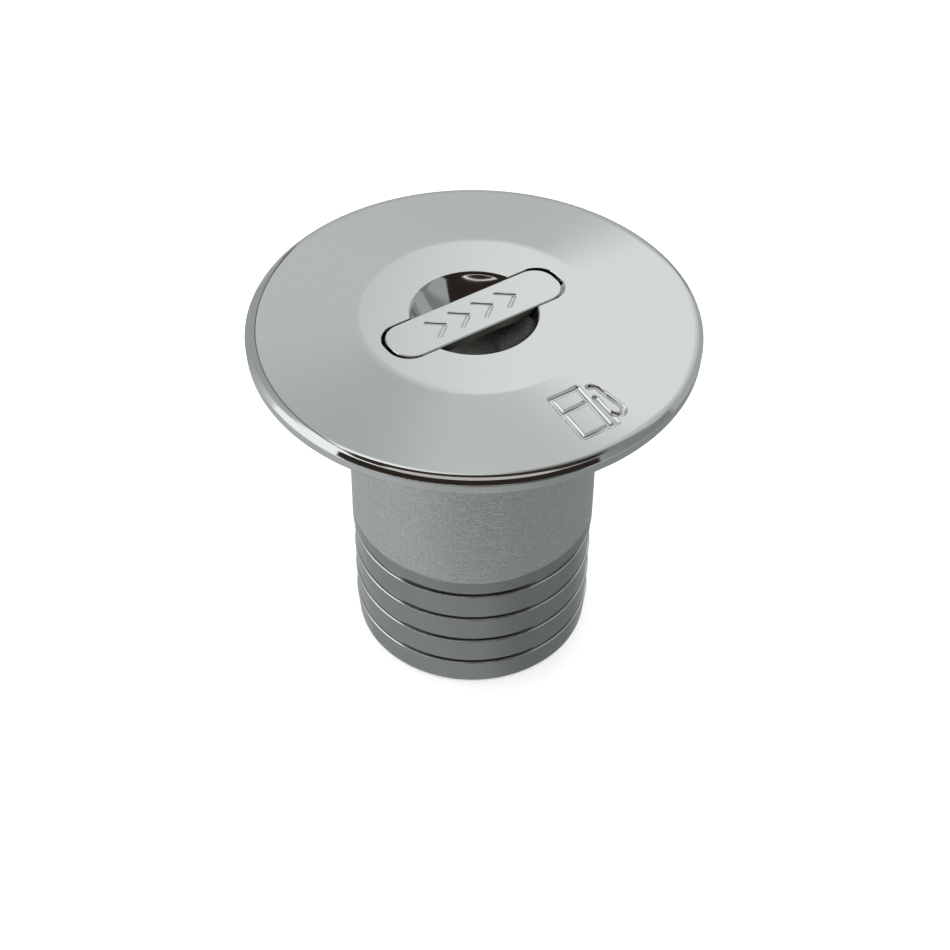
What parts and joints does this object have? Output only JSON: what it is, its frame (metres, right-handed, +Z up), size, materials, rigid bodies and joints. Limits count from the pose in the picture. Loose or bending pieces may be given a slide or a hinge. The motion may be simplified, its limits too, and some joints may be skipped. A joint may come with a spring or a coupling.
{
  "type": "deck fill cap",
  "caption": "Keyless deck filler: polished screw-in cap disc with a flush flip-up lever, over a deck flange with a ribbed hose neck.",
  "frame": {"origin": "centre of the flange's underside, on the deck's surface", "axes": "+Z up out of the deck along the neck's axis, +X along the flush lever away from its hinge"},
  "size_m": [0.0892, 0.0892, 0.0812],
  "materials": {
    "polished_stainless": "mirror polished",
    "cast_stainless": "bead blasted casting with machined ribs",
    "spring_stainless": "bright drawn",
    "seal_rubber": "satin moulded rubber",
    "acetal": "natural acetal"
  },
  "bodies": {
    "neck": {"neck_body": "cast_stainless"},
    "chain_anchor_ring": {"anchor_ring": "polished_stainless"},
    "chain_swivel": {"swivel_eye": "polished_stainless", "swivel_washer": "acetal"},
    "chain_swivel_ring": {"swivel_ring": "polished_stainless"},
    "cap": {"cover_disc": "polished_stainless", "threaded_plug": "cast_stainless", "plug_screws": "polished_stainless", "cap_seal": "seal_rubber", "plug_gasket": "seal_rubber", "lever_pin": "polished_stainless", "pin_keeper": "acetal", "lever_spring": "spring_stainless", "swivel_stud": "polished_stainless", "stud_lock_washer": "spring_stainless"},
    "lever": {"lever_bar": "polished_stainless"}
  },
  "joints": [
    {"name": "cap_rise", "type": "slide", "parent": "neck", "child": "chain_swivel", "axis": [0, 0, 1], "range_m": [0, 0.00931]},
    {"name": "cap_turn", "type": "hinge", "parent": "chain_swivel", "child": "cap", "pos_m": [0, 0, 0], "axis": [0, 0, 1], "range_deg": [0, 1116]},
    {"name": "lever_flip", "type": "hinge", "parent": "cap", "child": "lever", "pos_m": [-0.0143, 0, 0.00358], "axis": [0, -1, 0], "range_deg": [0, 90]},
    {"name": "swivel_ring_swing", "type": "hinge", "parent": "chain_swivel", "child": "chain_swivel_ring", "pos_m": [0.00775, 0, -0.015], "axis": [1, 0, 0], "range_deg": [-60, 60]},
    {"name": "anchor_ring_swing", "type": "hinge", "parent": "neck", "child": "chain_anchor_ring", "pos_m": [-0.0185, 0, -0.0245], "axis": [0, -1, 0], "range_deg": [-10, 60]}
  ],
  "couplings": [
    {"joint": "cap_rise", "follows": "cap_turn", "m_per_rad": 0.00047746}
  ]
}
